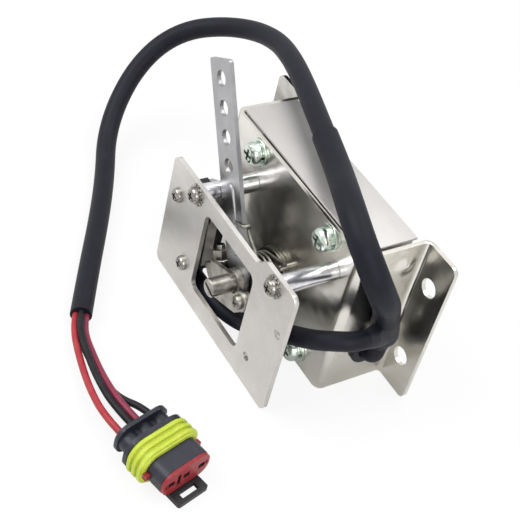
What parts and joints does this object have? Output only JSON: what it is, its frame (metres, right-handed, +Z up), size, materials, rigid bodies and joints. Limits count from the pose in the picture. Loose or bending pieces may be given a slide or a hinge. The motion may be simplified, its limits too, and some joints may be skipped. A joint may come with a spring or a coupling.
{
  "type": "throttle potentiometer",
  "caption": "Lever-driven rotary throttle position sensor on a folded steel mounting bracket, with an idle microswitch on a front plate and a sheathed lead to a three-way sealed plug.",
  "frame": {"origin": "centre of the four flange bolt holes, on the flanges' back face", "axes": "+Z up, the front with the lever and the switch plate faces -Y, the flanges' back faces +Y, +X to the right seen from the front; the lowest faces are at Z -0.030"},
  "size_m": [0.1785, 0.113, 0.0888],
  "materials": {
    "satin_steel": "satin rolled sheet",
    "lid_steel": "bright rolled sheet",
    "bright_steel": "satin stamped steel",
    "plated_steel": "bright plated",
    "black_moulding": "moulded black",
    "bush_brass": "turned",
    "track_board": "laminated board",
    "plunger_moulding": "moulded",
    "black_rubber": "moulded rubber",
    "cable_black": "smooth sheath",
    "wire_red": "smooth insulation",
    "wire_dark_red": "smooth insulation",
    "plug_grey": "moulded dark grey",
    "plug_black": "moulded black",
    "seal_yellow": "moulded silicone",
    "lock_red": "moulded red"
  },
  "bodies": {
    "unit": {"mounting_bracket": "satin_steel", "box_lid": "lid_steel", "front_plate": "satin_steel", "standoff_left": "bright_steel", "standoff_right": "bright_steel", "plate_screws": "plated_steel", "standoff_rear_screws": "plated_steel", "tooth_washers": "plated_steel", "bracket_screws": "plated_steel", "spring_washers": "plated_steel", "flat_washers": "plated_steel", "pot_housing": "black_moulding", "pot_bush": "bush_brass", "resistor_track": "track_board", "pot_rear_cover": "black_moulding", "spool_washer": "plated_steel", "spring_spool": "black_moulding", "spring_anchor_pin": "plated_steel", "switch_case": "black_moulding", "switch_cover": "black_moulding", "switch_screws": "plated_steel", "switch_nuts": "plated_steel", "leaf_bracket": "bright_steel", "leaf_pin": "plated_steel", "switch_terminals": "bush_brass", "terminal_boot": "black_rubber", "wall_grommet": "black_rubber", "pot_lead": "black_rubber", "cable_junction": "black_rubber", "cable_sheath": "cable_black", "cable_sleeve": "cable_black", "switch_cable": "cable_black", "wire_red": "wire_red", "wire_black_upper": "cable_black", "wire_dark_red": "wire_dark_red", "wire_black_lower": "cable_black", "plug_housing": "plug_grey", "plug_seal_ring": "seal_yellow", "plug_wire_seals": "seal_yellow", "plug_lock": "lock_red", "plug_latch": "plug_black"},
    "lever_group": {"lever_shaft": "plated_steel", "lever": "bright_steel", "lever_hub": "bright_steel", "hub_collar": "bright_steel", "hub_clamp_screw": "plated_steel", "hub_clamp_nut": "plated_steel", "idle_bolt": "plated_steel", "idle_washer": "plated_steel", "idle_nut": "plated_steel", "return_spring": "plated_steel", "wiper": "bush_brass"},
    "leaf": {"switch_leaf": "plated_steel"},
    "plunger": {"switch_plunger": "plunger_moulding"}
  },
  "joints": [
    {"name": "lever_turn", "type": "hinge", "parent": "unit", "child": "lever_group", "pos_m": [0.0029, -0.0415, -0.0073], "axis": [0, 1, 0], "range_deg": [0, 60], "stiffness_Nm_per_rad": 0.08, "springref_deg": -20.05},
    {"name": "leaf_press", "type": "hinge", "parent": "unit", "child": "leaf", "pos_m": [-0.0146, -0.0438, 0.0053], "axis": [0, 1, 0], "range_deg": [0, 3.5], "stiffness_Nm_per_rad": 0.3, "springref_deg": -1.15},
    {"name": "plunger_press", "type": "slide", "parent": "unit", "child": "plunger", "axis": [-1, 0, 0], "range_m": [0, 0.00056]}
  ],
  "couplings": [
    {"joint": "plunger_press", "follows": "leaf_press", "m_per_rad": 0.009}
  ]
}
